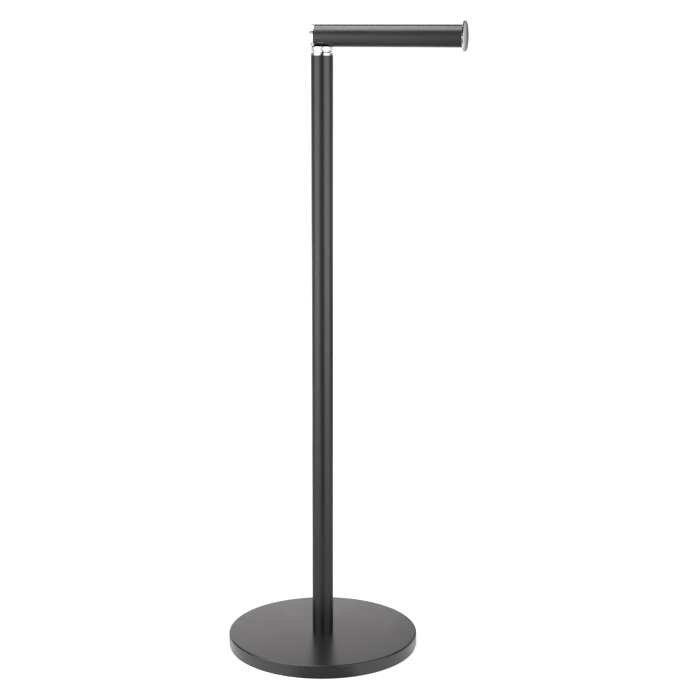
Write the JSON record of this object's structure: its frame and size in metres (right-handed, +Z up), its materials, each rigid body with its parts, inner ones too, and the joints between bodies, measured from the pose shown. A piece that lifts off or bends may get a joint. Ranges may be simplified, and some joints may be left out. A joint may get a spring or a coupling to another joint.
{
  "type": "toilet paper holder",
  "caption": "Free-standing toilet paper holder: weighted round base, slim tubular post and a swivelling horizontal roll arm with a round end stop.",
  "frame": {"origin": "where the post's axis meets the floor", "axes": "+Z up the post, +X along the roll arm from the post towards the end stop"},
  "size_m": [0.2455, 0.2, 0.6527],
  "materials": {
    "black_powder_coat": "fine matte powder coat",
    "polished_chrome": "mirror-polished chrome plate",
    "cast_iron": "rough black-primed casting",
    "zinc_steel": "bright zinc-plated steel",
    "black_foam": "closed-cell foam sheet",
    "white_nylon": "natural moulded nylon",
    "black_nylon": "black moulded nylon"
  },
  "bodies": {
    "stand": {"base_cover": "black_powder_coat", "base_weight": "cast_iron", "bottom_plate": "zinc_steel", "bottom_plate_screws": "zinc_steel", "floor_pad": "black_foam", "base_bolt": "zinc_steel", "base_lock_washer": "zinc_steel", "base_flat_washer": "zinc_steel", "post_gasket": "black_nylon", "post_foot_insert": "zinc_steel", "post_tube": "black_powder_coat", "post_collar": "polished_chrome", "upper_bush": "white_nylon", "lower_bush": "white_nylon"},
    "roll_arm": {"swivel_thrust_washer": "zinc_steel", "swivel_disc_spring": "zinc_steel", "swivel_lock_nut": "zinc_steel", "swivel_stud": "zinc_steel", "neck_saddle": "polished_chrome", "arm_tube": "black_powder_coat", "arm_clamp_bar": "zinc_steel", "arm_rear_cap": "polished_chrome", "arm_front_insert": "zinc_steel", "end_disc": "polished_chrome", "end_disc_stud": "zinc_steel"}
  },
  "joints": [
    {"name": "arm_swivel", "type": "hinge", "parent": "stand", "child": "roll_arm", "pos_m": [0, 0, 0.6212], "axis": [0, 0, 1], "continuous": true}
  ]
}
